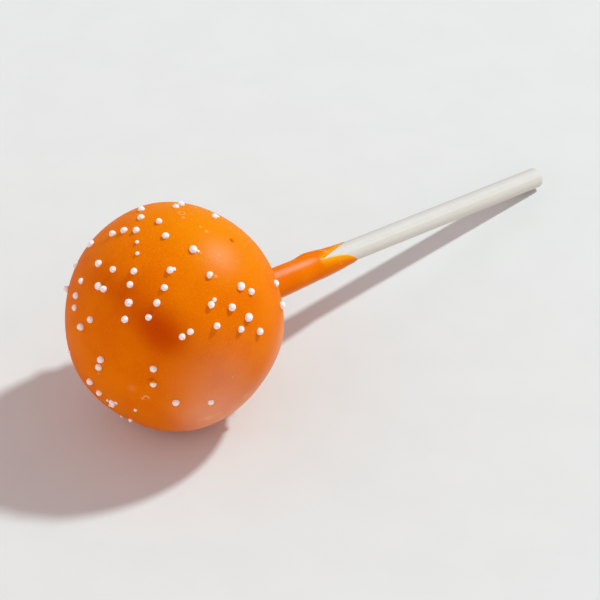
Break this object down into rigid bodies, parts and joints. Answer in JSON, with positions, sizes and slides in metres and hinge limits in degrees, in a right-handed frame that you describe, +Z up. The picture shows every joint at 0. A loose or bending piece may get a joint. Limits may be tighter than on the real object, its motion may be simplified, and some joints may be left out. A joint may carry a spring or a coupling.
{
  "type": "cake pop",
  "caption": "Round cake ball in a smooth candy coating with white sugar beads, on a paper stick, lying on its side with the stick's end resting on the surface.",
  "frame": {"origin": "on the surface the cake pop lies on, below the middle of its bounding box", "axes": "+Z up from the surface; +X the way the stick points, seen from above; the ball is at the -X end"},
  "size_m": [0.1136, 0.0396, 0.0413],
  "materials": {
    "candy_coating": "satin",
    "sugar_beads": "satin",
    "rolled_paper": "matte"
  },
  "bodies": {
    "root": {"coated_ball": "candy_coating", "stick": "rolled_paper"}
  },
  "joints": []
}
